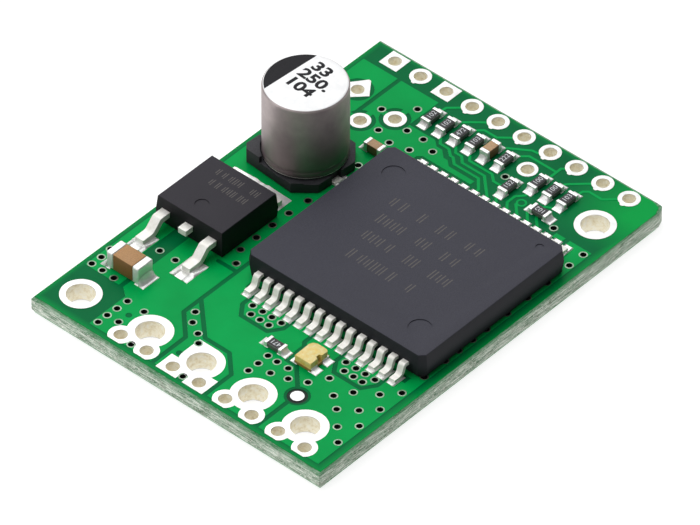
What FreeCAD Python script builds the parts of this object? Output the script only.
import FreeCAD, Part
import math
import os
import Sketcher

# A motor driver carrier board: a two-layer circuit board that carries one large H-bridge
# driver chip, a transistor that guards against reversed supply leads, an electrolytic
# capacitor, small ceramic and resistor chips and a two-colour status light.
#
# Frame, in millimetres: the origin is the centre of the board's bottom face, +X runs along
# the long side from the power end to the header end, +Y runs across the board, +Z is up.

DOC = FreeCAD.newDocument("motor_driver_carrier")

# ---------------------------------------------------------------- driving dimensions

SIZES = {
    # board: outside size, V-scored edges, and the layers from the bottom face up
    "board_length": 38.1,
    "board_width": 27.94,
    "board_thickness": 1.6,
    "power_end_inset": 0.17,
    "header_end_inset": 0.35,
    "near_side_inset": 0.04,
    "far_side_inset": 0.20,
    "score_depth": 0.30,
    "broken_corner": 0.9,
    "mask_thickness": 0.025,
    "bare_mask_thickness": 0.04,
    "copper_thickness": 0.035,
    "plating": 0.018,
    "tin_proud": 0.012,
    "gap_width": 0.36,
    "track_width": 0.22,
    # plated and plain holes
    "mount_hole": 2.2,
    "mount_ring": 3.16,
    "mount_near_power_x": -16.51,
    "mount_near_power_y": 11.43,
    "mount_near_header_x": 13.97,
    "mount_near_header_y": -11.43,
    "header_row_x": 17.78,
    "header_first_y": -11.43,
    "header_pitch": 2.54,
    "header_count": 10,
    "header_hole": 1.04,
    "header_pad": 1.7,
    "power_hole_x": -17.78,
    "power_hole_y": 6.35,
    "power_hole": 1.05,
    "power_pad": 1.92,
    "terminal_x": -16.11,
    "terminal_y": 5.0,
    "terminal_pitch": 5.0,
    "terminal_hole": 2.2,
    "terminal_pad": 3.49,
    "pad_edge_x": -18.56,
    "via_hole": 0.48,
    "via_ring": 0.68,
    "via_window_under": 0.74,
    "alignment_dot": 1.04,
    "alignment_window": 1.56,
    "alignment_clearance": 1.98,
    # how surface parts stand on their solder
    "solder_seat": 0.04,
    # driver chip: moulded body, gull-wing leads, heat slugs
    "chip_x": 0.95,
    "chip_y": -4.57,
    "chip_length": 16.0,
    "chip_width": 17.2,
    "chip_height": 2.17,
    "chip_standoff": 0.1,
    "chip_parting": 1.2,
    "chip_corner": 0.5,
    "chip_draft": -8.0,
    "chip_edge": 0.06,
    "chip_dimple": 1.8,
    "chip_dimple_depth": 0.06,
    "chip_dimple_x": 5.57,
    "chip_dimple_y": 6.19,
    "chip_dot": 0.66,
    "chip_dot_x": 6.67,
    "chip_dot_y": -6.96,
    "lead_count": 15,
    "lead_spacing": 1.0,
    "lead_width": 0.55,
    "lead_gauge": 0.30,
    "lead_top": 1.18,
    "lead_tip": 9.5,
    "lead_shoulder": 8.5,
    "lead_slope": 0.28,
    "lead_buried": 0.8,
    "slug_gauge": 0.5,
    "slug_standoff": 0.05,
    "die_gauge": 0.3,
    # transistor: moulded body, tab and leads
    "fet_x": -3.845,
    "fet_y": 9.615,
    "fet_length": 6.11,
    "fet_width": 6.53,
    "fet_height": 2.3,
    "fet_parting": 0.9,
    "fet_draft": -5.0,
    "fet_edge": 0.06,
    "fet_dimple": 1.1,
    "fet_dimple_x": -1.505,
    "fet_dimple_y": 0.105,
    "fet_gauge": 0.5,
    "fet_tab_width": 5.3,
    "fet_tab_end": 4.145,
    "fet_tab_buried": 2.1,
    "fet_lead_width": 0.8,
    "fet_lead_offset": 2.285,
    "fet_lead_top": 1.4,
    "fet_lead_shoulder": 4.0,
    "fet_lead_slope": 0.81,
    "fet_lead_tip": 5.915,
    "fet_stub_end": 3.805,
    # electrolytic capacitor
    "can_x": 5.15,
    "can_y": 9.0,
    "can_turn": -4.5,
    "can_diameter": 6.5,
    "can_wall": 0.25,
    "can_bottom": 1.0,
    "can_top": 7.6,
    "can_groove_level": 0.62,
    "can_groove_depth": 0.12,
    "base_side": 6.6,
    "base_plate": 0.55,
    "base_step": 0.86,
    "base_post": 1.35,
    "base_recess": 5.5,
    "base_chamfer": 1.45,
    "base_corner": 0.45,
    "base_notch": 1.0,
    "base_notch_depth": 0.3,
    "base_lug": 0.65,
    "lug_clearance": 0.04,
    "post_reach": 1.8,
    "pin_gauge": 0.16,
    "pin_width": 0.8,
    "pin_reach": 3.54,
    "pin_fillet": 3.57,
    "pin_pitch": 2.2,
    "pin_wire": 0.5,
    "mark_chord": 1.6,
    "mark_margin": 0.28,
    "mark_gauge": 0.02,
    # chip resistors and capacitors, and the status light
    "resistor_length": 1.6,
    "resistor_width": 0.82,
    "resistor_height": 0.45,
    "cap_band": 0.27,
    "bulk_length": 3.15,
    "bulk_width": 1.6,
    "bulk_height": 1.5,
    "ceramic_length": 1.6,
    "ceramic_width": 0.8,
    "ceramic_height": 0.8,
    "light_x": -10.65,
    "light_y": -5.75,
    "light_length": 2.05,
    "light_width": 1.6,
    "light_base": 0.25,
    "light_height": 0.75,
    "light_column": 0.62,
    "light_cover_margin": 0.04,
    "light_cover_corner": 0.4,
    "light_notch_depth": 0.3,
    "light_notch_start": -0.18,
    "light_notch_end": 0.22,
    "light_die": 0.28,
    "light_die_x": 0.6,
    "light_die_y": 0.17,
}

SHEET = DOC.addObject("Spreadsheet::Sheet", "sizes")
for row_number, (alias, number) in enumerate(SIZES.items(), start=1):
    SHEET.set(f"A{row_number}", alias)
    SHEET.set(f"B{row_number}", str(number))
    SHEET.setAlias(f"B{row_number}", alias)
DOC.recompute()


class Amount:
    """A length: its present value, and the sheet expression that gives it."""

    def __init__(self, value, text):
        self.value = value
        self.text = text

    def __add__(self, other):
        other = amount(other)
        return Amount(self.value + other.value, f"({self.text} + {other.text})")

    def __sub__(self, other):
        other = amount(other)
        return Amount(self.value - other.value, f"({self.text} - {other.text})")

    def __mul__(self, other):
        other = amount(other)
        return Amount(self.value * other.value, f"({self.text} * {other.text})")

    def __truediv__(self, other):
        other = amount(other)
        return Amount(self.value / other.value, f"({self.text} / {other.text})")

    def __neg__(self):
        return Amount(-self.value, f"(-{self.text})")

    def __radd__(self, other):
        return amount(other) + self

    def __rsub__(self, other):
        return amount(other) - self

    def __rmul__(self, other):
        return amount(other) * self


def amount(thing):
    """Wrap a plain number, so that it can be added to a sheet length."""
    if isinstance(thing, Amount):
        return thing
    return Amount(float(thing), f"({float(thing):.6f})")


def dim(alias):
    """A driving dimension, as a length that stays bound to the sheet."""
    return Amount(float(SHEET.get(alias)), f"sizes.{alias}")


def size(alias):
    """A driving dimension's present value, for shapes made in code."""
    return float(SHEET.get(alias))


SUBPARTS = []


def keep(thing, label):
    """Name an object as a sub-part, which gets a file of its own."""
    thing.Label = label
    SUBPARTS.append(thing)
    return thing


def place(thing, x, y, z, turn=0.0):
    """Turn an object about Z, and bind its position to the sheet."""
    thing.Placement = FreeCAD.Placement(
        FreeCAD.Vector(0, 0, 0), FreeCAD.Rotation(FreeCAD.Vector(0, 0, 1), turn)
    )
    for letter, value in zip("xyz", (x, y, z)):
        thing.setExpression(f".Placement.Base.{letter}", amount(value).text)
    return thing


# ---------------------------------------------------------------- feature helpers

def origin_part(body, role):
    """One of a body's own origin planes or axes."""
    return next(item for item in body.Origin.OriginFeatures if item.Role == role)


def new_body(name):
    """A body that may hold several separate solids."""
    body = DOC.addObject("PartDesign::Body", name)
    body.AllowCompound = True
    return body


def new_sketch(body, name, role, level):
    """A sketch on an origin plane, raised along that plane's normal by level."""
    sketch = body.newObject("Sketcher::SketchObject", name)
    sketch.AttachmentSupport = [(origin_part(body, role), "")]
    sketch.MapMode = "FlatFace"
    sketch.setExpression(".AttachmentOffset.Base.z", amount(level).text)
    return sketch


def bind(sketch, kind, first, second, value):
    """Fix one coordinate of a sketch point, measured from the sketch's origin."""
    index = sketch.addConstraint(
        Sketcher.Constraint(kind, -1, 1, first, second, value.value)
    )
    sketch.setExpression(f"Constraints[{index}]", value.text)


def outline(body, name, points, role="XY_Plane", level=0.0):
    """A closed outline of straight lines whose every corner is bound to the sheet."""
    sketch = new_sketch(body, name, role, level)
    corners = [(amount(across), amount(along)) for across, along in points]
    count = len(corners)
    for index, (across, along) in enumerate(corners):
        next_across, next_along = corners[(index + 1) % count]
        start = FreeCAD.Vector(across.value, along.value, 0)
        end = FreeCAD.Vector(next_across.value, next_along.value, 0)
        sketch.addGeometry(Part.LineSegment(start, end), False)
    for index in range(count):
        joint = Sketcher.Constraint("Coincident", index, 2, (index + 1) % count, 1)
        sketch.addConstraint(joint)
    for index, (across, along) in enumerate(corners):
        bind(sketch, "DistanceX", index, 1, across)
        bind(sketch, "DistanceY", index, 1, along)
    return sketch


def circles(body, name, centres, radius, level=0.0):
    """Circles of one radius, bound to the sheet, on the plane across Z."""
    sketch = new_sketch(body, name, "XY_Plane", level)
    radius = amount(radius)
    for across, along in centres:
        across, along = amount(across), amount(along)
        centre = FreeCAD.Vector(across.value, along.value, 0)
        circle = Part.Circle(centre, FreeCAD.Vector(0, 0, 1), radius.value)
        index = sketch.addGeometry(circle, False)
        bind(sketch, "DistanceX", index, 3, across)
        bind(sketch, "DistanceY", index, 3, along)
        rim = sketch.addConstraint(Sketcher.Constraint("Radius", index, radius.value))
        sketch.setExpression(f"Constraints[{rim}]", radius.text)
    return sketch


def pad(body, name, sketch, length, draft=None, down=False, centred=False):
    """Extrude a sketch up, down or both ways, with an optional mould draft."""
    feature = body.newObject("PartDesign::Pad", name)
    feature.Profile = sketch
    feature.setExpression("Length", amount(length).text)
    feature.Reversed = down
    feature.Midplane = centred
    if draft is not None:
        feature.setExpression("TaperAngle", draft.text)
    body.Tip = feature
    DOC.recompute()
    return feature


def pocket(body, name, sketch, depth):
    """Cut a sketch down into the body, and make sure that it did cut."""
    before = body.Shape.Volume
    feature = body.newObject("PartDesign::Pocket", name)
    feature.Profile = sketch
    feature.setExpression("Length", amount(depth).text)
    body.Tip = feature
    DOC.recompute()
    if body.Shape.Volume >= before:
        raise RuntimeError(f"{name} cuts nothing")
    return feature


def soften(body, name, feature, radius, wanted):
    """Round the edges of a feature whose centre passes the test wanted."""
    edges = [
        f"Edge{index}"
        for index, edge in enumerate(feature.Shape.Edges, start=1)
        if wanted(edge)
    ]
    rounding = body.newObject("PartDesign::Fillet", name)
    rounding.Base = (feature, edges)
    rounding.setExpression("Radius", amount(radius).text)
    body.Tip = rounding
    DOC.recompute()
    return rounding


def repeat(body, name, axis_role, spacing, count):
    """Repeat everything in the body along one of its axes."""
    feature = body.Tip
    row = body.newObject("PartDesign::LinearPattern", name)
    row.Originals = [feature]
    row.TransformMode = "Whole shape"
    row.Direction = (origin_part(body, axis_role), [""])
    row.Mode = "Spacing"
    row.setExpression("Offset", amount(spacing).text)
    row.setExpression("Occurrences", amount(count).text)
    body.Tip = row
    DOC.recompute()
    return row


def block(name, x, y, z, length, width, height):
    """A box centred on x and y that stands on z."""
    box = DOC.addObject("Part::Box", name)
    length, width, height = amount(length), amount(width), amount(height)
    box.setExpression("Length", length.text)
    box.setExpression("Width", width.text)
    box.setExpression("Height", height.text)
    return place(box, amount(x) - length / 2, amount(y) - width / 2, z)


def rod(name, x, y, z, diameter, height):
    """An upright cylinder that stands on z."""
    cylinder = DOC.addObject("Part::Cylinder", name)
    cylinder.setExpression("Radius", (amount(diameter) / 2).text)
    cylinder.setExpression("Height", amount(height).text)
    return place(cylinder, x, y, z)


def group(name, members):
    """Separate solids that count as one object."""
    bundle = DOC.addObject("Part::Compound", name)
    bundle.Links = members
    return bundle


def joined(name, members):
    """Solids fused into one."""
    fusion = DOC.addObject("Part::MultiFuse", name)
    fusion.Shapes = members
    return fusion


def less(name, base, tool):
    """A base with the room for another object cut out of it."""
    remainder = DOC.addObject("Part::Cut", name)
    remainder.Base = base
    remainder.Tool = tool
    return remainder


def made_in_code(name, shape):
    """A shape that has too many outlines for sketches."""
    feature = DOC.addObject("Part::Feature", name)
    feature.Shape = shape
    feature.Placement = FreeCAD.Placement()
    return feature


# ---------------------------------------------------------------- flat outlines

SHEET_REACH = 30.0


def disc(x, y, radius):
    """A flat round face."""
    circle = Part.makeCircle(radius, FreeCAD.Vector(x, y, 0))
    return Part.Face(Part.Wire(circle))


def rectangle(x_low, x_high, y_low, y_high):
    """A flat rectangular face."""
    return Part.makePlane(
        x_high - x_low, y_high - y_low, FreeCAD.Vector(x_low, y_low, 0)
    )


def polygon(points):
    """A flat face with straight sides."""
    corners = [FreeCAD.Vector(x, y, 0) for x, y in points]
    return Part.Face(Part.makePolygon(corners + corners[:1]))


def capsule(start, end, width):
    """A straight stroke with round ends."""
    first = FreeCAD.Vector(start[0], start[1], 0)
    last = FreeCAD.Vector(end[0], end[1], 0)
    along = last.sub(first).normalize().multiply(width / 2)
    side = FreeCAD.Vector(-along.y, along.x, 0)
    edges = [
        Part.LineSegment(first.add(side), last.add(side)),
        Part.Arc(last.add(side), last.add(along), last.sub(side)),
        Part.LineSegment(last.sub(side), first.sub(side)),
        Part.Arc(first.sub(side), first.sub(along), first.add(side)),
    ]
    return Part.Face(Part.Wire([edge.toShape() for edge in edges]))


def stroke(points, width):
    """A line of strokes through the points."""
    return [capsule(start, end, width) for start, end in zip(points, points[1:])]


def merged(faces):
    """Flat faces made into one, as what is left of a sheet once all that is outside them goes."""
    sheet = rectangle(-SHEET_REACH, SHEET_REACH, -SHEET_REACH, SHEET_REACH)
    outside = sheet.cut(faces)
    return sheet.cut(outside.Faces)


def slab(face, bottom, top):
    """A flat face, or several, given a thickness."""
    raised = face.copy()
    raised.translate(FreeCAD.Vector(0, 0, bottom))
    return raised.extrude(FreeCAD.Vector(0, 0, top - bottom))


def board_face(inset_scale):
    """The board's outline where its scored edges lean in, with one corner broken off."""
    x_low = -size("board_length") / 2 + inset_scale * size("power_end_inset")
    x_high = size("board_length") / 2 - inset_scale * size("header_end_inset")
    y_low = -size("board_width") / 2 + inset_scale * size("near_side_inset")
    y_high = size("board_width") / 2 - inset_scale * size("far_side_inset")
    broken = size("broken_corner")
    points = [
        (x_low, y_low),
        (x_high - broken, y_low),
        (x_high - 0.25 * broken, y_low + 0.3 * broken),
        (x_high, y_low + broken),
        (x_high, y_high),
        (x_low, y_high),
    ]
    return polygon(points)


# ---------------------------------------------------------------- places on the board

MOUNT_HOLES = [
    (size("mount_near_power_x"), size("mount_near_power_y")),
    (size("mount_near_header_x"), size("mount_near_header_y")),
]
HEADER_HOLES = [
    (size("header_row_x"), size("header_first_y") + index * size("header_pitch"))
    for index in range(int(size("header_count")))
]
# the first and third header positions from the far side have square pads
SQUARE_HEADER_HOLES = (9, 7)
POWER_GROUPS = ["supply_input_pad", "motor_output_a_pad", "motor_output_b_pad", "ground_input_pad"]
TERMINAL_HOLES = [
    (size("terminal_x"), size("terminal_y") - index * size("terminal_pitch"))
    for index in range(len(POWER_GROUPS))
]
POWER_HOLES = [
    (size("power_hole_x"), size("power_hole_y") - index * size("header_pitch"))
    for index in range(2 * len(POWER_GROUPS))
]
ALIGNMENT_MARK = (-14.12, -7.46)

# extra plated holes: centre, pad radius, and the sides on which a spoke joins the pour
SPARE_CORNER_HOLE = (13.57, 11.38)
SPARE_ROUND_HOLES = [(11.1, 8.95, 0.83), (12.93, 7.13, 0.87), (15.25, -3.78, 0.80)]
SPOKED_HOLES = SPARE_ROUND_HOLES[:2]
RELIEF_WIDTH = 0.35
SPOKE_WIDTH = 0.5
CORNER_PAD_REACH = 1.15
CORNER_PAD_TAIL = (14.95, 11.38)

# small plated holes that join the two copper layers, one list for each area
HEAT_VIA_STEP = 9.02
HEAT_VIAS = [
    (x, y + shift)
    for shift in (0.0, -HEAT_VIA_STEP)
    for x, y in [
        (-9.15, 1.32), (-9.15, 0.36), (-9.15, -0.54), (-9.15, -1.46),
        (-9.93, 0.8), (-9.93, -0.08), (-9.93, -0.94),
    ]
]
SUPPLY_VIAS = [
    (-13.6, 13.04), (-12.62, 13.0), (-11.54, 13.1), (-13.62, 11.98), (-13.68, 10.8),
    (-9.28, 10.3), (-9.28, 8.78), (-17.9, 8.46), (-16.92, 8.46), (-15.92, 8.42),
    (-14.84, 8.38), (-16.9, 7.36), (-14.88, 6.72), (-18.06, 5.08),
]
OUTPUT_VIAS = [
    (-12.42, 3.96), (-13.38, 3.35), (-14.0, 2.26), (-14.74, 1.54), (-18.07, 0.02),
    (-14.48, -3.06), (-13.44, -3.08), (-12.38, -3.06), (-12.42, -3.98), (-13.62, -4.42),
    (-12.4, -5.04), (-13.22, -5.77), (-12.56, -7.08),
]
GROUND_VIAS = [
    (-11.2, -7.94), (-12.38, -9.38), (-13.28, -10.48), (-11.18, -10.2), (-14.62, -11.74),
    (-12.32, -11.76), (-10.08, -11.76), (-15.8, -12.86), (-13.52, -12.86), (-11.24, -12.82),
    (-8.9, -12.84),
]
EDGE_VIAS = [(x, -12.9) for x in (-6.56, -4.3, -2.84, -1.32, 0.2, 2.45, 4.7, 6.87, 9.36, 10.92)]
LOGIC_VIAS = [
    (11.66, -9.42), (13.54, -3.1), (12.06, 2.68), (11.06, 4.08), (12.62, 4.08),
    (10.68, 5.72), (12.56, 5.62), (7.3, 5.75), (13.1, 8.6), (11.2, 7.24), (14.86, 6.62),
]
DRAIN_VIAS = [(-6.6, 5.24), (-5.28, 6.02), (-3.54, 6.02), (-1.76, 6.06), (0.0, 6.04), (1.96, 5.9)]
OPEN_VIAS = (
    HEAT_VIAS + SUPPLY_VIAS + OUTPUT_VIAS + GROUND_VIAS + EDGE_VIAS + LOGIC_VIAS + DRAIN_VIAS
)
COVERED_VIAS = [(-15.88, 7.3), (-16.4, 1.88), (12.18, -5.86)]

RESISTOR_COLUMN = [(14.71, y) for y in (5.10, 3.67, 2.24, 0.81, -2.05)]
RESISTOR_COLUMN += [(14.43, y) for y in (-5.52, -6.93, -8.33)]
RESISTORS = [(x, y, 0.0) for x, y in RESISTOR_COLUMN]
RESISTORS += [(12.68, -4.16, 0.0), (12.13, -7.73, 90.0), (-11.37, -2.93, 90.0)]
FILTER_CERAMIC = (14.69, -0.66, 0.0)
BYPASS_CERAMIC = (9.2, 5.8, 90.0)
BULK_CERAMIC = (-12.3, 10.48, 90.0)


# ---------------------------------------------------------------- solder lands and joints

class Joint:
    """One solder joint, described along a line that runs outwards from x, y."""

    def __init__(self, x, y, turn, inner, part_end, outer, half_width, rise, node):
        self.x = x
        self.y = y
        self.turn = turn
        self.inner = inner
        self.part_end = part_end
        self.outer = outer
        self.half_width = half_width
        self.rise = rise
        self.node = node

    def moved(self, shape):
        """Bring a shape from the joint's own line to its place on the board."""
        shape.rotate(FreeCAD.Vector(0, 0, 0), FreeCAD.Vector(0, 0, 1), self.turn)
        shape.translate(FreeCAD.Vector(self.x, self.y, 0))
        return shape

    def land(self):
        """The bare copper that the solder covers."""
        return self.moved(
            rectangle(self.inner, self.outer, -self.half_width, self.half_width)
        )

    def solder(self):
        """The solder under the part's end and the fillet that climbs it."""
        bottom = COPPER_TOP
        seat = size("board_thickness") + size("solder_seat")
        profile = [
            (self.inner, bottom),
            (self.outer, bottom),
            (self.outer, size("board_thickness")),
            (self.part_end + (self.outer - self.part_end) * 0.4, seat + self.rise * 0.3),
            (self.part_end, seat + self.rise),
            (self.part_end, seat),
            (self.inner, seat),
        ]
        corners = [FreeCAD.Vector(x, -self.half_width, z) for x, z in profile]
        side = Part.Face(Part.makePolygon(corners + corners[:1]))
        return self.moved(side.extrude(FreeCAD.Vector(0, 2 * self.half_width, 0)))


def chip_joints(place_and_turn, length, reach, half_width, rise):
    """The two joints of a two-ended chip part."""
    x, y, turn = place_and_turn
    inner = length / 2 - 1.3 * size("cap_band")
    return [
        Joint(x, y, turn + flip, inner, length / 2, reach, half_width, rise, "chip_part_solder")
        for flip in (0.0, 180.0)
    ]


LAMINATE_BOTTOM = size("mask_thickness") + size("copper_thickness")
LAMINATE_TOP = size("board_thickness") - LAMINATE_BOTTOM
COPPER_TOP = LAMINATE_TOP + size("copper_thickness")
CHIP_LAND_REACH = 1.3
CHIP_LAND_HALF = 0.42

JOINTS = []
for spot in RESISTORS:
    JOINTS += chip_joints(spot, size("resistor_length"), CHIP_LAND_REACH, CHIP_LAND_HALF, 0.32)
for spot in (FILTER_CERAMIC, BYPASS_CERAMIC):
    JOINTS += chip_joints(spot, size("ceramic_length"), CHIP_LAND_REACH, CHIP_LAND_HALF, 0.45)
JOINTS += chip_joints(BULK_CERAMIC, size("bulk_length"), 2.12, 0.88, 0.8)
for column in (-1, 1):
    for turn, outer in ((90.0, 1.2), (-90.0, 1.32)):
        JOINTS.append(
            Joint(
                size("light_x") + column * size("light_column"), size("light_y"), turn,
                0.55, size("light_width") / 2, outer, 0.42, 0.12, "chip_part_solder",
            )
        )
for index in range(int(size("lead_count"))):
    lead_y = size("chip_y") + (index - (size("lead_count") - 1) / 2) * size("lead_spacing")
    for turn, outer in ((180.0, 9.77), (0.0, 9.98)):
        JOINTS.append(
            Joint(size("chip_x"), lead_y, turn, 8.45, size("lead_tip"), outer, 0.385, 0.16,
                  "driver_chip_solder")
        )
for side, half_width, inner, outer in ((1, 0.76, 4.55, 6.5), (-1, 0.87, 4.35, 6.75)):
    lead_y = size("fet_y") + side * size("fet_lead_offset")
    JOINTS.append(
        Joint(size("fet_x"), lead_y, 180.0, inner, size("fet_lead_tip"), outer, half_width, 0.2,
              "transistor_solder")
    )
JOINTS.append(
    Joint(size("fet_x"), size("fet_y"), 0.0, -size("fet_tab_buried"), size("fet_tab_end"), 5.015,
          2.82, 0.25, "transistor_solder")
)
for turn in (90.0, -90.0):
    JOINTS.append(
        Joint(size("can_x"), size("can_y"), turn, 1.9, size("pin_fillet"), 3.78, 0.7, 0.12,
              "capacitor_solder")
    )

# heat slugs under the driver chip: name, centre from the chip's centre, length, width
SLUGS = [
    ("supply_heat_slug", -2.9, 0.0, 4.6, 14.6),
    ("output_a_heat_slug", 3.0, 3.85, 5.2, 6.9),
    ("output_b_heat_slug", 3.0, -3.85, 5.2, 6.9),
]


def slug_land(slug):
    """The land that a heat slug is soldered to."""
    _, x, y, length, width = slug
    x += size("chip_x")
    y += size("chip_y")
    return rectangle(x - length / 2, x + length / 2, y - width / 2, y + width / 2)


# ---------------------------------------------------------------- copper pattern

POUR_AREAS = [
    [(-18.4, -13.28), (10.3, -13.28), (10.3, 13.35), (-18.4, 13.35)],
    [(10.3, 5.95), (16.45, 5.95), (16.45, 13.35), (10.3, 13.35)],
    [
        (10.3, 5.95), (13.17, 5.95), (13.17, 3.4), (12.7, 2.85), (12.7, 2.3), (12.1, 1.65),
        (12.1, 1.25), (11.65, 0.75), (11.65, -1.75), (11.2, -1.75), (11.2, 2.9), (10.9, 3.25),
        (10.3, 3.25),
    ],
    [(10.3, -13.28), (11.4, -13.28), (11.4, -11.2), (10.3, -11.2)],
    [(10.9, -10.8), (11.4, -10.8), (11.4, -9.9), (10.9, -9.9)],
]
BARE_AREAS = [
    # round the mounting hole at the power end
    [(-18.5, 8.85), (-14.55, 8.85), (-13.95, 9.6), (-13.95, 13.4), (-18.5, 13.4)],
    # from there to the transistor's leads
    [(-14.1, 9.65), (-5.5, 9.65), (-5.5, 10.05), (-14.1, 10.05)],
    [(-10.3, 10.0), (-6.0, 10.0), (-6.0, 11.05), (-10.3, 11.05)],
    # under the chip's lead feet
    [(-8.0, -12.3), (-7.3, -12.3), (-7.3, 3.1), (-8.0, 3.1)],
]
GAPS = [
    [(-18.6, 2.67), (-14.87, 2.67), (-12.95, 4.6), (-5.5, 4.6)],
    [(-11.1, 4.6), (-14.0, 1.56), (-14.0, -0.8), (-15.6, -2.43), (-18.6, -2.43)],
    [(-7.24, 4.6), (-7.24, 6.4)],
    [(-7.6, 2.0), (-9.5, 2.0), (-10.5, 1.25), (-10.5, -1.3), (-9.5, -1.98), (-7.6, -1.98)],
    [(-7.6, -7.05), (-9.5, -7.05), (-10.52, -7.75), (-10.52, -10.3), (-9.5, -11.0), (-7.6, -11.0)],
    [
        (-7.6, -4.03), (-9.55, -4.05), (-9.9, -4.35), (-11.8, -4.35), (-11.8, -5.3),
        (-13.3, -6.75), (-13.9, -7.36), (-18.6, -7.36),
    ],
    [(10.3, 9.8), (17.0, 9.8)],
]
TRACKS = [
    # from the resistor column round the chip's far corner to its logic leads
    [
        (13.6, 3.25), (13.1, 2.85), (13.1, 2.0), (12.6, 1.4), (12.6, 1.15), (12.1, 0.6),
        (12.1, -1.75), (11.2, -2.55), (10.9, -2.57),
    ],
    [
        (13.6, 1.75), (13.1, 1.35), (13.1, 0.75), (12.6, 0.25), (12.6, -1.9), (11.0, -3.55),
    ],
    [(13.55, 0.35), (13.12, 0.0), (13.12, -2.2), (12.6, -2.8), (12.6, -3.5)],
    # from the chip's logic leads to the second resistor group
    [(10.9, -4.5), (11.4, -4.1)],
    [(10.9, -5.55), (11.55, -5.03), (12.4, -5.03), (13.0, -5.55), (13.2, -5.6)],
    [(10.9, -6.55), (11.8, -5.65)],
    [(10.9, -7.55), (11.85, -6.7)],
    [(10.9, -8.5), (11.65, -7.75), (12.4, -7.4), (13.0, -7.4), (13.3, -8.0)],
    # from the resistors to the header pads
    [(15.9, 5.2), (16.4, 5.15), (17.0, 4.5), (17.6, 3.81)],
    [(15.9, 3.3), (16.4, 2.75), (17.0, 2.05), (17.6, 1.27)],
    [(15.95, 1.9), (16.4, 1.4), (16.4, 0.2), (17.0, -0.5), (17.6, -1.27)],
    [(15.9, -0.95), (16.4, -1.7), (17.05, -2.7), (17.1, -3.2), (17.6, -3.81)],
    [(15.9, -2.35), (16.43, -2.95), (16.43, -5.5)],
    [(15.8, -5.57), (16.95, -5.57), (17.6, -6.35)],
    [(15.8, -6.9), (16.0, -7.05), (17.0, -8.1), (17.6, -8.89)],
    [(15.8, -8.35), (16.1, -8.4), (16.4, -8.75), (16.38, -10.0), (17.1, -10.75), (17.6, -11.43)],
]
UNDERSIDE_GAPS = [
    [(-18.6, 2.5), (-9.0, 2.5), (-6.0, -0.5), (-6.0, -13.6)],
    [(-18.6, -2.5), (-12.0, -2.5), (-9.0, -5.5), (-9.0, -13.6)],
    [(-6.0, 2.0), (-2.0, 6.0), (6.0, 6.0), (9.5, 2.5), (9.5, -13.6)],
]
UNDERSIDE_TRACKS = [
    [(11.66, -9.42), (14.5, -9.42), (16.4, -7.6), (16.4, 6.4), (17.6, 6.35)],
    [(13.54, -3.1), (14.6, -2.0), (14.6, 7.6), (15.8, 8.89), (17.6, 8.89)],
    [(12.18, -5.86), (13.12, -4.92), (15.47, -4.92), (16.9, -6.35)],
]
COVERED_RING = 0.42


def spokes(x, y, radius, sides):
    """Short bridges from a pad across its relief gap, one towards each side."""
    reach = radius + RELIEF_WIDTH + 0.1
    return [
        capsule((x, y), (x + reach * math.cos(angle), y + reach * math.sin(angle)), SPOKE_WIDTH)
        for angle in (math.radians(side) for side in sides)
    ]


def corner_pad():
    """The square pad that stands on its corner, with a tail towards the header."""
    x, y = SPARE_CORNER_HOLE
    reach = CORNER_PAD_REACH
    square = polygon([(x - reach, y), (x, y - reach), (x + reach, y), (x, y + reach)])
    tail_x, tail_y = CORNER_PAD_TAIL
    tail = polygon([(x, y - reach), (tail_x, tail_y - 0.1), (tail_x, tail_y + 0.1), (x, y + reach)])
    return merged([square, tail])


def drop_pad(x, y, radius, tail):
    """A round pad drawn out to a blunt point where its track leaves."""
    tip = radius + tail
    shoulder = radius * math.sqrt(0.5)
    flare = polygon([
        (x, y - shoulder * 1.35), (x, y + shoulder * 1.35), (x - tip, y + 0.1), (x - tip, y - 0.1),
    ])
    return merged([disc(x, y, radius), flare])


def header_pad(index):
    """One pad of the header row: square at two places, else round with a short tail."""
    x, y = HEADER_HOLES[index]
    radius = size("header_pad") / 2
    if index in SQUARE_HEADER_HOLES:
        return rectangle(x - radius, x + radius - 0.03, y - radius, y + radius)
    return drop_pad(x, y, radius, 0.12)


def power_pad(index):
    """One large terminal pad, merged with the two small pads beside it."""
    big_x, big_y = TERMINAL_HOLES[index]
    big = size("terminal_pad") / 2
    small = size("power_pad") / 2
    faces = [disc(big_x, big_y, big)]
    for x, y in POWER_HOLES[2 * index: 2 * index + 2]:
        if index == 1:
            faces.append(rectangle(x - small, x + small, y - small, y + small))
        else:
            faces.append(disc(x, y, small))
    if index == 1:
        faces.append(rectangle(big_x, big_x + big, big_y, big_y + big))
    edge = rectangle(size("pad_edge_x"), big_x + 2 * big, big_y - 3 * big, big_y + 3 * big)
    return merged(faces).common(edge)


PADS = {
    "mounting_hole_rings": [disc(x, y, size("mount_ring") / 2) for x, y in MOUNT_HOLES],
    "header_pads": [header_pad(index) for index in range(len(HEADER_HOLES))],
    "spare_hole_pads": [corner_pad()] + [disc(x, y, r) for x, y, r in SPARE_ROUND_HOLES],
}
for index, name in enumerate(POWER_GROUPS):
    PADS[name] = [power_pad(index)]
ALL_PADS = [face for faces in PADS.values() for face in faces]
VIA_RINGS = [disc(x, y, size("via_ring") / 2) for x, y in OPEN_VIAS]
VIA_WINDOWS_UNDER = [disc(x, y, size("via_window_under") / 2) for x, y in OPEN_VIAS]
COVERED_RINGS = [disc(x, y, COVERED_RING) for x, y in COVERED_VIAS]

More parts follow.
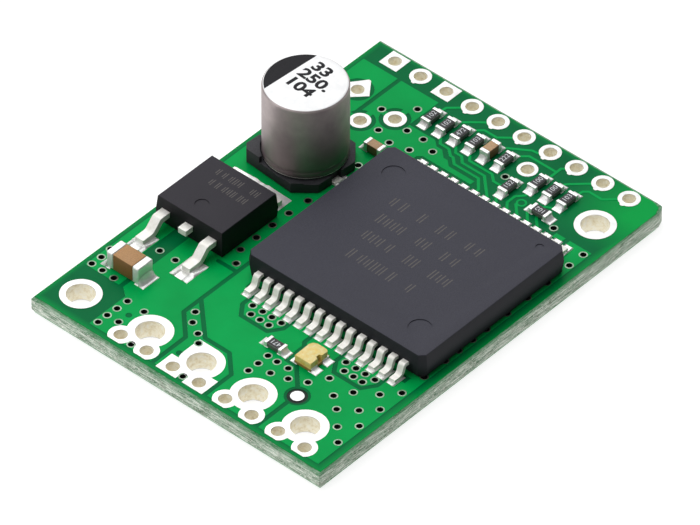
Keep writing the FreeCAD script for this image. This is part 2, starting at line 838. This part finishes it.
# every hole, with the radius of its finished wall, which the drill exceeds by the plating
HOLES = [(x, y, size("mount_hole") / 2) for x, y in MOUNT_HOLES]
HOLES += [(x, y, size("header_hole") / 2) for x, y in HEADER_HOLES]
HOLES += [(x, y, size("terminal_hole") / 2) for x, y in TERMINAL_HOLES]
HOLES += [(x, y, size("power_hole") / 2) for x, y in POWER_HOLES]
HOLES += [(x, y, size("header_hole") / 2) for x, y, _ in SPARE_ROUND_HOLES]
HOLES += [(*SPARE_CORNER_HOLE, size("header_hole") / 2)]
HOLES += [(x, y, size("via_hole") / 2) for x, y in OPEN_VIAS + COVERED_VIAS]
DRILL_FACES = [disc(x, y, radius + size("plating")) for x, y, radius in HOLES]
TOP_LANDS = [joint.land() for joint in JOINTS] + [slug_land(slug) for slug in SLUGS]


def top_copper_face():
    """The upper copper: the pours and their gaps, then lands, pads, rings and tracks."""
    gap = size("gap_width")
    reliefs = [disc(x, y, r + RELIEF_WIDTH) for x, y, r in SPOKED_HOLES]
    reliefs.append(disc(*SPARE_CORNER_HOLE, CORNER_PAD_REACH + 0.1))
    reliefs.append(disc(*ALIGNMENT_MARK, size("alignment_clearance") / 2))
    openings = [polygon(points) for points in BARE_AREAS] + reliefs
    for points in GAPS:
        openings += stroke(points, gap)
    pour = merged([polygon(points) for points in POUR_AREAS]).cut(openings)
    added = TOP_LANDS + ALL_PADS + VIA_RINGS + COVERED_RINGS
    added.append(disc(*ALIGNMENT_MARK, size("alignment_dot") / 2))
    for x, y, radius in SPOKED_HOLES:
        added += spokes(x, y, radius, (0.0, 90.0))
    for points in TRACKS:
        added += stroke(points, size("track_width"))
    return merged(pour.Faces + added).cut(DRILL_FACES)


def bottom_copper_face():
    """The lower copper: one pour over most of the board, and tracks at the header end."""
    openings = [rectangle(10.6, 19.0, -14.0, 9.9)]
    openings += [disc(x, y, size("mount_ring") / 2 + 0.4) for x, y in MOUNT_HOLES]
    for points in UNDERSIDE_GAPS:
        openings += stroke(points, size("gap_width"))
    pour = rectangle(-18.4, 16.4, -13.28, 13.35).cut(openings)
    added = ALL_PADS + VIA_RINGS + COVERED_RINGS
    for points in UNDERSIDE_TRACKS:
        added += stroke(points, size("track_width"))
    return merged(pour.Faces + added).cut(DRILL_FACES)


def solids_of(shape):
    """A compound that holds a shape's solids and nothing else."""
    return Part.makeCompound(shape.Solids)


# ---------------------------------------------------------------- bare board

def scored_edge(outside, inside, top, bottom, run, along_x):
    """The wedge that a scoring blade takes off one long edge of the board."""
    if along_x:
        corners = [(-run, outside, bottom), (-run, outside, top), (-run, inside, top)]
        travel = FreeCAD.Vector(2 * run, 0, 0)
    else:
        corners = [(outside, -run, bottom), (outside, -run, top), (inside, -run, top)]
        travel = FreeCAD.Vector(0, 2 * run, 0)
    points = [FreeCAD.Vector(*corner) for corner in corners]
    return Part.Face(Part.makePolygon(points + points[:1])).extrude(travel)


def scored_edges():
    """All the wedges, above and below, on the four sides."""
    half_length = size("board_length") / 2
    half_width = size("board_width") / 2
    full = size("board_thickness")
    depth = size("score_depth")
    sides = [
        (-half_length, -half_length + size("power_end_inset"), False),
        (half_length, half_length - size("header_end_inset"), False),
        (-half_width, -half_width + size("near_side_inset"), True),
        (half_width, half_width - size("far_side_inset"), True),
    ]
    wedges = []
    for outside, inside, along_x in sides:
        for top, bottom in ((full, full - depth), (0.0, depth)):
            wedges.append(scored_edge(outside, inside, top, bottom, 1.1 * half_length, along_x))
    return wedges


def make_laminate():
    """The glass-fibre core: a scored and drilled plate with one corner broken off."""
    plate = block("laminate_blank", 0.0, 0.0, LAMINATE_BOTTOM, dim("board_length"),
                  dim("board_width"), LAMINATE_TOP - LAMINATE_BOTTOM)
    full = size("board_thickness")
    drills = [slab(face, -1.0, full + 1.0) for face in DRILL_FACES]
    corner = slab(
        rectangle(0.0, 20.0, -15.0, 0.0).cut(board_face(0.0)), -1.0, full + 1.0
    )
    cuts = made_in_code("laminate_cuts", Part.makeCompound(drills + scored_edges() + [corner]))
    keep(less("laminate", plate, cuts), "pcb_laminate")


def make_copper_and_mask():
    """Both copper layers, and the green mask that steps up where it crosses copper."""
    full = size("board_thickness")
    mask = size("mask_thickness")
    bare = size("bare_mask_thickness")
    upper = top_copper_face()
    lower = bottom_copper_face()
    keep(made_in_code("upper_copper", solids_of(slab(upper, LAMINATE_TOP, COPPER_TOP))),
         "copper_top")
    keep(made_in_code("lower_copper", solids_of(slab(lower, mask, LAMINATE_BOTTOM))),
         "copper_bottom")
    dot_window = disc(*ALIGNMENT_MARK, size("alignment_window") / 2)
    top_sheet = board_face(1.0).cut(ALL_PADS + VIA_RINGS + TOP_LANDS + [dot_window])
    bottom_sheet = board_face(0.8).cut(ALL_PADS + VIA_WINDOWS_UNDER)
    upper_mask = [
        slab(top_sheet.common(upper), COPPER_TOP, full),
        slab(top_sheet.cut(upper), LAMINATE_TOP, LAMINATE_TOP + bare),
    ]
    lower_mask = [
        slab(bottom_sheet.common(lower), 0.0, mask),
        slab(bottom_sheet.cut(lower), LAMINATE_BOTTOM - bare, LAMINATE_BOTTOM),
    ]
    keep(made_in_code("upper_mask", solids_of(Part.makeCompound(upper_mask))), "solder_mask_top")
    keep(made_in_code("lower_mask", solids_of(Part.makeCompound(lower_mask))), "solder_mask_bottom")


def plated(face, holes):
    """Tin on both faces of a pad, and the barrels of the holes through it."""
    top = size("board_thickness") + size("tin_proud")
    barrels = [disc(x, y, radius + size("plating")) for x, y, radius in holes]
    parts = [slab(face, COPPER_TOP, top), slab(face, 0.0, size("mask_thickness"))]
    parts += [slab(barrel, 0.0, top) for barrel in barrels]
    bores = [slab(disc(x, y, radius), -1.0, top + 1.0) for x, y, radius in holes]
    return parts[0].multiFuse(parts[1:]).cut(bores)


def make_plating():
    """The tinned pads and hole walls, the mounting rings and the small joining holes."""
    radii = {
        "mounting_hole_rings": size("mount_hole") / 2,
        "header_pads": size("header_hole") / 2,
        "spare_hole_pads": size("header_hole") / 2,
    }
    spare = [SPARE_CORNER_HOLE] + [(x, y) for x, y, _ in SPARE_ROUND_HOLES]
    centres = {
        "mounting_hole_rings": MOUNT_HOLES,
        "header_pads": HEADER_HOLES,
        "spare_hole_pads": spare,
    }
    for name, spots in centres.items():
        shapes = [
            plated(face, [(x, y, radii[name])]) for face, (x, y) in zip(PADS[name], spots)
        ]
        keep(made_in_code(f"{name}_tin", solids_of(Part.makeCompound(shapes))), name)
    for index, name in enumerate(POWER_GROUPS):
        holes = [(*TERMINAL_HOLES[index], size("terminal_hole") / 2)]
        for x, y in POWER_HOLES[2 * index: 2 * index + 2]:
            holes.append((x, y, size("power_hole") / 2))
        tin = plated(PADS[name][0], holes)
        crossing = [spot for spot in OPEN_VIAS if PADS[name][0].isInside(
            FreeCAD.Vector(*spot, 0), 0.0, True)]
        cuts = [slab(disc(x, y, size("via_ring") / 2), -1.0, 3.0) for x, y in crossing]
        keep(made_in_code(f"{name}_tin", solids_of(tin.cut(cuts) if cuts else tin)), name)
    dot = slab(disc(*ALIGNMENT_MARK, size("alignment_dot") / 2), COPPER_TOP,
               size("board_thickness") + size("tin_proud"))
    keep(made_in_code("alignment_dot_tin", dot), "alignment_mark")
    radius = size("via_hole") / 2
    ring = plated(disc(0, 0, size("via_ring") / 2), [(0, 0, radius)])
    tube = slab(disc(0, 0, radius + size("plating")).cut(disc(0, 0, radius)), LAMINATE_BOTTOM,
                LAMINATE_TOP)
    barrels = [ring.translated(FreeCAD.Vector(x, y, 0)) for x, y in OPEN_VIAS]
    barrels += [tube.translated(FreeCAD.Vector(x, y, 0)) for x, y in COVERED_VIAS]
    keep(made_in_code("via_tin", solids_of(Part.makeCompound(barrels))), "via_barrels")


# ---------------------------------------------------------------- gull-wing leads

def bent_lead(name, turn, spec):
    """A row of leads that leave a moulded body, step down and lie flat on their lands."""
    body = new_body(name)
    top = spec["top"]
    gauge = spec["gauge"]
    foot = dim("solder_seat")
    fall = top - foot - gauge
    run = spec["slope"]
    ratio = run / fall
    lean = gauge * math.sqrt(run.value ** 2 + fall.value ** 2) / fall.value
    knee = spec["shoulder"]
    ankle = knee + run
    under_knee = knee + ratio * gauge - lean
    under_ankle = ankle + ratio * gauge - lean
    inner = spec["inner"]
    profile = outline(body, "side_profile", [
        (inner, top), (knee, top), (ankle, foot + gauge), (spec["tip"], foot + gauge),
        (spec["tip"], foot), (under_ankle, foot), (under_knee, top - gauge), (inner, top - gauge),
    ], role="XZ_Plane")
    blade = pad(body, "blade", profile, spec["width"], centred=True)

    def across(edge):
        return abs(edge.BoundBox.YLength - spec["width"].value) < 1e-6 and edge.Length > 1e-6

    def at(edge, x):
        return across(edge) and abs(edge.CenterOfMass.x - x.value) < 1e-6

    bent = blade
    for label, radius, spot in (
        ("shoulder_bend", gauge * 0.8, knee), ("armpit_bend", gauge * 0.3, under_knee),
        ("instep_bend", gauge * 1.1, ankle), ("heel_bend", gauge * 1.9, under_ankle),
    ):
        bent = soften(body, label, bent, radius, lambda edge, spot=spot: at(edge, spot))
    if spec["count"].value > 1:
        repeat(body, "row", "Y_Axis", spec["spacing"], spec["count"])
    flip = 1 if turn == 0.0 else -1
    return place(body, spec["x"], spec["y"] - flip * spec["row_half"], dim("board_thickness"), turn)


# ---------------------------------------------------------------- driver chip

def chip_lead_row(name, turn):
    """The fifteen leads of one side."""
    return bent_lead(name, turn, {
        "top": dim("lead_top"), "gauge": dim("lead_gauge"), "slope": dim("lead_slope"),
        "shoulder": dim("lead_shoulder"), "tip": dim("lead_tip"), "width": dim("lead_width"),
        "inner": dim("chip_length") / 2 - dim("lead_buried"),
        "count": dim("lead_count"), "spacing": dim("lead_spacing"),
        "row_half": (dim("lead_count") - 1) * dim("lead_spacing") / 2,
        "x": dim("chip_x"), "y": dim("chip_y"),
    })


def octagon(half_x, half_y, corner):
    """The points of a rectangle with its corners cut."""
    return [
        (-half_x, -half_y + corner), (-half_x + corner, -half_y), (half_x - corner, -half_y),
        (half_x, -half_y + corner), (half_x, half_y - corner), (half_x - corner, half_y),
        (-half_x + corner, half_y), (-half_x, half_y - corner),
    ]


def chip_mould():
    """The black body, drafted both ways from its parting line, before its inserts."""
    body = new_body("driver_chip_mould")
    points = octagon(dim("chip_length") / 2, dim("chip_width") / 2, dim("chip_corner"))
    parting = outline(body, "parting_outline", points, level=dim("chip_parting"))
    pad(body, "upper_half", parting, dim("chip_height") - dim("chip_parting"), dim("chip_draft"))
    full = pad(body, "lower_half", parting, dim("chip_parting") - dim("chip_standoff"),
               dim("chip_draft"), down=True)
    top = size("chip_height")
    soften(body, "top_rim", full, dim("chip_edge"),
           lambda edge: abs(edge.BoundBox.ZMin - top) < 1e-6 and abs(edge.BoundBox.ZMax - top) < 1e-6)
    dimples = circles(
        body, "ejector_marks",
        [(dim("chip_dimple_x"), dim("chip_dimple_y")), (-dim("chip_dimple_x"), -dim("chip_dimple_y"))],
        dim("chip_dimple") / 2, level=dim("chip_height"),
    )
    pocket(body, "ejector_dimples", dimples, dim("chip_dimple_depth"))
    dot = circles(body, "first_pin_mark", [(dim("chip_dot_x"), dim("chip_dot_y"))],
                  dim("chip_dot") / 2, level=dim("chip_height"))
    pocket(body, "first_pin_dot", dot, dim("chip_dimple_depth"))
    return place(body, dim("chip_x"), dim("chip_y"), dim("board_thickness"))


def bond_wire(start, end, rise, diameter):
    """A wire that arches from a die to a lead."""
    first = FreeCAD.Vector(*start)
    last = FreeCAD.Vector(*end)
    middle = first.add(last).multiply(0.5).add(FreeCAD.Vector(0, 0, rise))
    path = Part.Wire(Part.Arc(first, middle, last).toShape())
    tangent = path.Edges[0].tangentAt(path.Edges[0].FirstParameter)
    section = Part.Wire(Part.makeCircle(diameter / 2, first, tangent))
    return path.makePipeShell([section], True, False)


def chip_bond_wires():
    """Thick wires from the dies to the power leads, thin ones to the logic leads."""
    board = size("board_thickness")
    die_top = board + size("slug_standoff") + size("slug_gauge") + size("die_gauge")
    lead_top = board + size("lead_top")
    inner = size("chip_length") / 2 - size("lead_buried") + 0.35
    wires = []
    for index in range(int(size("lead_count"))):
        along = (index - (size("lead_count") - 1) / 2) * size("lead_spacing")
        y = size("chip_y") + along
        lead_z = lead_top + 0.02
        if index % 2 == 0:
            start = (size("chip_x") - 3.4, size("chip_y") + along * 0.35, die_top + 0.02)
            wires.append(bond_wire(start, (size("chip_x") - inner, y, lead_z), 0.3, 0.14))
            bank = 3.85 if along > 0 else -3.85
            start = (size("chip_x") + 3.6, size("chip_y") + bank + (along - bank) * 0.35,
                     die_top + 0.02)
            wires.append(bond_wire(start, (size("chip_x") + inner, y, lead_z), 0.3, 0.08))
    return Part.makeCompound(wires)


def make_driver_chip():
    """The H-bridge chip: leads, slugs, dies and wires, moulded into a black body."""
    x, y = dim("chip_x"), dim("chip_y")
    power_row = keep(chip_lead_row("power_row", 180.0), "driver_chip_power_leads")
    logic_row = keep(chip_lead_row("logic_row", 0.0), "driver_chip_logic_leads")
    bottom = dim("board_thickness") + dim("slug_standoff")
    inserts = [power_row, logic_row]
    dies = []
    for name, across, along, length, width in SLUGS:
        slug = block(f"{name}_copper", x + across, y + along, bottom, length, width,
                     dim("slug_gauge"))
        inserts.append(keep(slug, f"driver_chip_{name}"))
        dies.append(block(f"{name}_die", x + across, y + along, bottom + dim("slug_gauge"),
                          length * 0.62, width * 0.55, dim("die_gauge")))
    inserts.append(keep(group("chip_dies", dies), "driver_chip_dies"))
    wires = made_in_code("chip_wires", chip_bond_wires())
    inserts.append(keep(wires, "driver_chip_bond_wires"))
    mould = less("chip_body", chip_mould(), group("chip_inserts", inserts))
    keep(mould, "driver_chip_body")


# ---------------------------------------------------------------- reverse-battery transistor

def fet_mould():
    """The transistor's black body before its inserts."""
    body = new_body("transistor_mould")
    half_x, half_y = dim("fet_length") / 2, dim("fet_width") / 2
    points = [(-half_x, -half_y), (half_x, -half_y), (half_x, half_y), (-half_x, half_y)]
    parting = outline(body, "parting_outline", points, level=dim("fet_parting"))
    pad(body, "upper_half", parting, dim("fet_height") - dim("fet_parting"), dim("fet_draft"))
    full = pad(body, "lower_half", parting, dim("fet_parting") - dim("solder_seat"),
               dim("fet_draft"), down=True)
    top = size("fet_height")
    soften(body, "top_rim", full, dim("fet_edge"),
           lambda edge: abs(edge.BoundBox.ZMin - top) < 1e-6 and abs(edge.BoundBox.ZMax - top) < 1e-6)
    mark = circles(body, "ejector_mark", [(dim("fet_dimple_x"), dim("fet_dimple_y"))],
                   dim("fet_dimple") / 2, level=dim("fet_height"))
    pocket(body, "ejector_dimple", mark, dim("chip_dimple_depth"))
    return place(body, dim("fet_x"), dim("fet_y"), dim("board_thickness"))


def fet_lead(name, side):
    """One of the two leads that reach the board."""
    return bent_lead(name, 180.0, {
        "top": dim("fet_lead_top"), "gauge": dim("fet_gauge"), "slope": dim("fet_lead_slope"),
        "shoulder": dim("fet_lead_shoulder"), "tip": dim("fet_lead_tip"),
        "width": dim("fet_lead_width"), "inner": dim("fet_length") / 2 - 0.7,
        "count": amount(1), "spacing": amount(1), "row_half": amount(0),
        "x": dim("fet_x"), "y": dim("fet_y") + side * dim("fet_lead_offset"),
    })


def make_transistor():
    """The transistor in its tabbed case: frame, leads, die, clip and moulded body."""
    x, y = dim("fet_x"), dim("fet_y")
    seat = dim("board_thickness") + dim("solder_seat")
    gauge = dim("fet_gauge")
    plate_length = dim("fet_tab_end") + dim("fet_tab_buried")
    plate = block("tab_plate", x + dim("fet_tab_end") - plate_length / 2, y, seat, plate_length,
                  dim("fet_tab_width"), gauge)
    stub_z = dim("board_thickness") + dim("fet_lead_top") - gauge
    riser_x = x - dim("fet_tab_buried") + gauge / 2
    riser = block("stub_riser", riser_x, y, seat + gauge, gauge, dim("fet_lead_width"),
                  stub_z - seat - gauge)
    stub_length = dim("fet_stub_end") - dim("fet_tab_buried") + gauge
    stub = block("cut_stub", x - dim("fet_stub_end") + stub_length / 2, y, stub_z, stub_length,
                 dim("fet_lead_width") * 0.94, gauge)
    tab = keep(joined("drain_frame", [plate, riser, stub]), "transistor_tab")
    gate = keep(fet_lead("gate_lead", 1), "transistor_gate_lead")
    source = keep(fet_lead("source_lead", -1), "transistor_source_lead")
    die = block("fet_die", x + 0.6, y, seat + gauge, 3.0, 3.4, dim("die_gauge"))
    keep(die, "transistor_die")
    die_top = seat + gauge + dim("die_gauge")
    bridge_y = y - dim("fet_lead_offset")
    clip_pad = block("clip_pad", x + 0.6, y - 0.7, die_top, 1.8, 1.6, stub_z - die_top)
    clip_arm = block("clip_arm", x - 0.2, y - 0.7, stub_z, 3.4, 1.6, 0.25)
    clip_tail = block("clip_tail", x - 1.65, bridge_y + 0.55, stub_z, 0.5, 1.9, 0.25)
    clip = keep(joined("source_strap", [clip_pad, clip_arm, clip_tail]), "transistor_source_clip")
    inserts = group("transistor_inserts", [tab, gate, source, die, clip])
    keep(less("transistor_case", fet_mould(), inserts), "transistor_body")


# ---------------------------------------------------------------- electrolytic capacitor

def can_shell():
    """The aluminium can: a drawn cup with a rolled lower rim and a crimped groove."""
    body = new_body("can_shell")
    radius = dim("can_diameter") / 2
    inside = radius - dim("can_wall")
    foot, top = dim("can_bottom"), dim("can_top")
    groove = foot + dim("can_groove_level")
    nip = dim("can_groove_depth")
    profile = outline(body, "wall_section", [
        (radius - 0.45, foot), (radius - 0.12, foot), (radius, foot + 0.12),
        (radius, groove - nip), (radius - nip, groove), (radius, groove + nip),
        (radius, top - 0.28), (radius - 0.08, top - 0.08), (radius - 0.28, top),
        (0, top), (0, top - dim("can_wall")), (inside, top - dim("can_wall")),
        (inside, groove + nip), (inside - nip, groove), (inside, groove - nip),
        (inside, foot + 0.25), (radius - 0.45, foot + 0.25),
    ], role="XZ_Plane")
    turned = body.newObject("PartDesign::Revolution", "turned_can")
    turned.Profile = profile
    turned.ReferenceAxis = (profile, ["V_Axis"])
    turned.Angle = 360.0
    body.Tip = turned
    DOC.recompute()
    return place(body, dim("can_x"), dim("can_y"), dim("board_thickness"))


# inside the capacitor: how far its pieces reach, and how much room each one has
WELL_PLAY = 0.12
PIN_INSIDE = 1.9
SEAL_RISE = 0.25
SEAL_HEIGHT = 1.2
SEAL_PLAY = 0.3
WINDING_RISE = 1.3
WINDING_SHORTFALL = 2.2
WINDING_PLAY = 0.4
WINDING_CORE = 0.7


def base_moulding():
    """The plastic base: a notched plate, a lug, and posts at the two far corners."""
    body = new_body("base_moulding")
    half = dim("base_side") / 2
    cut, corner = dim("base_chamfer"), dim("base_corner")
    notch, inner = dim("base_notch") / 2, half - dim("base_notch_depth")
    footprint = [
        (-half, -half + cut), (-half + cut, -half), (-notch, -half), (-notch, -inner),
        (notch, -inner), (notch, -half), (half - cut, -half), (half, -half + cut),
        (half, half - corner), (half - corner, half), (notch, half), (notch, inner),
        (-notch, inner), (-notch, half), (-half + corner, half), (-half, half - corner),
    ]
    low = dim("solder_seat") + dim("pin_gauge") * 0.1
    plate = outline(body, "plate_outline", footprint, level=low)
    pad(body, "plate", plate, dim("base_step") - low)
    recess = circles(body, "recess_outline", [(0, 0)], dim("base_recess") / 2,
                     level=dim("base_step"))
    pocket(body, "recess", recess, dim("base_step") - dim("base_plate"))
    lug = dim("base_lug")
    block_end = -half + cut + lug
    near = outline(body, "lug_outline", [
        (-half, -half + cut), (-half, block_end), (-half + lug, block_end),
        (-half + lug, -half + cut - lug),
    ], level=low)
    pad(body, "lug", near, dim("can_bottom") - dim("lug_clearance") - low)
    reach = dim("post_reach")
    for side, name in ((-1, "power_end_post"), (1, "header_end_post")):
        post = outline(body, f"{name}_outline", [
            (side * (half - corner), half), (side * (half - reach), half),
            (side * (half - reach), half - reach), (side * half, half - reach),
            (side * half, half - corner),
        ], level=low)
        pad(body, name, post, dim("base_post") - low)
    well = circles(body, "well_outline", [(0, 0)], dim("can_diameter") / 2 + WELL_PLAY,
                   level=dim("base_post"))
    pocket(body, "well", well, dim("base_post") - dim("base_step"))
    return place(body, dim("can_x"), dim("can_y"), dim("board_thickness"), size("can_turn"))


def make_capacitor():
    """The capacitor: can, winding, rubber seal, two pins, plastic base and its marking."""
    x, y, board = dim("can_x"), dim("can_y"), dim("board_thickness")
    seat = board + dim("solder_seat")
    keep(can_shell(), "capacitor_can")
    pins = []
    for side in (-1, 1):
        flat_length = dim("pin_reach") - dim("pin_pitch") / 2 + dim("pin_wire") / 2
        flat_y = side * (dim("pin_reach") - flat_length / 2)
        flat = block(f"pin_flat_{side}", 0, flat_y, 0, dim("pin_width"), flat_length,
                     dim("pin_gauge"))
        wire = rod(f"pin_wire_{side}", 0, side * dim("pin_pitch") / 2, 0, dim("pin_wire"),
                   dim("can_bottom") + PIN_INSIDE)
        pins.append(joined(f"pin_{side}", [flat, wire]))
    terminals = keep(group("pins", pins), "capacitor_terminals")
    place(terminals, x, y, seat, size("can_turn"))
    inside = dim("can_diameter") - 2 * dim("can_wall")
    seal_base = board + dim("can_bottom") + SEAL_RISE
    seal = rod("seal_plug", x, y, seal_base, inside - SEAL_PLAY, SEAL_HEIGHT)
    keep(less("seal", seal, terminals), "capacitor_seal")
    winding_base = seal_base + WINDING_RISE
    winding_length = dim("can_top") - dim("can_bottom") - WINDING_SHORTFALL
    roll = rod("foil_roll", x, y, winding_base, inside - WINDING_PLAY, winding_length)
    core = rod("roll_core", x, y, winding_base, WINDING_CORE, winding_length)
    keep(less("winding", less("hollow_roll", roll, core), terminals), "capacitor_winding")
    keep(less("base", base_moulding(), terminals), "capacitor_base")
    radius = size("can_diameter") / 2 - size("mark_margin")
    chord = size("mark_chord")
    half_angle = math.acos(chord / radius)
    ends = [
        FreeCAD.Vector(radius * math.sin(side * half_angle), chord, 0) for side in (-1, 1)
    ]
    arc = Part.Arc(ends[0], FreeCAD.Vector(0, radius, 0), ends[1]).toShape()
    line = Part.LineSegment(ends[1], ends[0]).toShape()
    mark = slab(Part.Face(Part.Wire([arc, line])), 0.0, size("mark_gauge"))
    ink = made_in_code("polarity_ink", mark)
    place(ink, x, y, board + dim("can_top"), size("can_turn"))
    keep(ink, "capacitor_polarity_mark")


# ---------------------------------------------------------------- chip parts and light

def make_resistor(index, spot):
    """A chip resistor: a ceramic core, its dark coat and two plated ends."""
    name = f"resistor_{index:02d}"
    length, width, height = dim("resistor_length"), dim("resistor_width"), dim("resistor_height")
    band = dim("cap_band")
    skin = 0.03
    core = block(f"{name}_core", 0, 0, skin, length - 2 * band, width - 2 * skin,
                 height - 3 * skin)
    coat = block(f"{name}_coat", 0, 0, height - 2 * skin, length - 2 * band, width - 4 * skin, skin)
    ends = [
        block(f"{name}_end_{side}", side * (length / 2 - band / 2), 0, 0, band, width, height)
        for side in (-1, 1)
    ]
    part = group(name, [core, coat] + ends)
    x, y, turn = spot
    keep(place(part, x, y, dim("board_thickness") + dim("solder_seat"), turn), name)


def make_ceramic(name, spot, kind):
    """A multilayer ceramic capacitor: a body and two plated ends."""
    length, width, height = dim(f"{kind}_length"), dim(f"{kind}_width"), dim(f"{kind}_height")
    band = length * 0.2
    x, y, turn = spot
    z = dim("board_thickness") + dim("solder_seat")
    body = block(f"{name}_block", 0, 0, 0.02, length - 2 * band, width - 0.04, height - 0.04)
    ends = [
        block(f"{name}_end_{side}", side * (length - band) / 2, 0, 0, band, width, height)
        for side in (-1, 1)
    ]
    keep(place(group(f"{name}_core", [body]), x, y, z, turn), f"{name}_body")
    keep(place(group(f"{name}_ends", ends), x, y, z, turn), f"{name}_end_caps")


def make_status_light():
    """The two-colour light: a small board with four plated feet, two dies and a clear cover."""
    x, y = dim("light_x"), dim("light_y")
    seat = dim("board_thickness") + dim("solder_seat")
    length, width = dim("light_length"), dim("light_width")
    foot_length, foot_width = 0.7, 0.32
    feet = []
    for column in (-1, 1):
        for row in (-1, 1):
            feet.append(block(
                f"light_foot_{column}_{row}", x + column * dim("light_column"),
                y + row * (width / 2 - foot_width / 2), seat, foot_length, foot_width,
                dim("light_base"),
            ))
    terminals = keep(group("light_feet", feet), "status_light_terminals")
    plate = block("light_plate", x, y, seat, length, width, dim("light_base"))
    keep(less("light_board", plate, terminals), "status_light_base")
    deck = seat + dim("light_base")
    dies = keep(group("light_dies", [
        block(f"light_die_{side}", x + side * dim("light_die_x"), y - side * dim("light_die_y"),
              deck, dim("light_die"), dim("light_die"), 0.2)
        for side in (-1, 1)
    ]), "status_light_dies")
    half_x = length / 2 - dim("light_cover_margin")
    half_y = width / 2 - dim("light_cover_margin")
    corner = dim("light_cover_corner")
    notch_start, notch_end = dim("light_notch_start"), dim("light_notch_end")
    notch_top = dim("light_notch_depth") - half_y
    cover = new_body("light_cover")
    tile = outline(cover, "tile_outline", [
        (-half_x, -half_y), (notch_start, -half_y), (notch_start, notch_top),
        (notch_end, notch_top), (notch_end, -half_y), (half_x - corner / 2, -half_y),
        (half_x, -half_y + corner / 2), (half_x, half_y - corner), (half_x - corner, half_y),
        (-half_x, half_y),
    ])
    pad(cover, "tile", tile, dim("light_height") - dim("light_base"))
    place(cover, x, y, deck)
    keep(less("light_lens", cover, dies), "status_light_lens")


def make_solder():
    """The solder of every surface part, one group for each kind of part."""
    groups = {}
    for joint in JOINTS:
        groups.setdefault(joint.node, []).append(joint.solder())
    for slug in SLUGS:
        layer = slab(slug_land(slug), COPPER_TOP, size("board_thickness") + size("slug_standoff"))
        groups["driver_chip_solder"].append(layer)
    for name, shapes in groups.items():
        keep(made_in_code(f"{name}_fillets", solids_of(Part.makeCompound(shapes))), name)


# ---------------------------------------------------------------- build, check and write

def check(thing):
    """Stop if a sub-part failed, is empty or isn't a sound solid."""
    if thing.Shape.isNull() or not thing.Shape.Solids:
        raise RuntimeError(f"{thing.Label} is empty")
    if not thing.Shape.isValid():
        raise RuntimeError(f"{thing.Label} is not valid")


make_laminate()
make_copper_and_mask()
make_plating()
make_driver_chip()
make_transistor()
make_capacitor()
make_ceramic("bulk_ceramic", BULK_CERAMIC, "bulk")
make_ceramic("bypass_ceramic", BYPASS_CERAMIC, "ceramic")
make_ceramic("filter_ceramic", FILTER_CERAMIC, "ceramic")
make_status_light()
for number, spot in enumerate(RESISTORS, start=1):
    make_resistor(number, spot)
make_solder()
DOC.recompute()

for item in DOC.Objects:
    if "Invalid" in item.State or "Error" in item.State:
        raise RuntimeError(f"{item.Label} failed: {item.State}")
for item in SUBPARTS:
    check(item)

os.makedirs("parts", exist_ok=True)
for item in SUBPARTS:
    item.Shape.exportStep(os.path.join("parts", f"{item.Label}.step"))
print(f"{len(SUBPARTS)} sub-parts written")
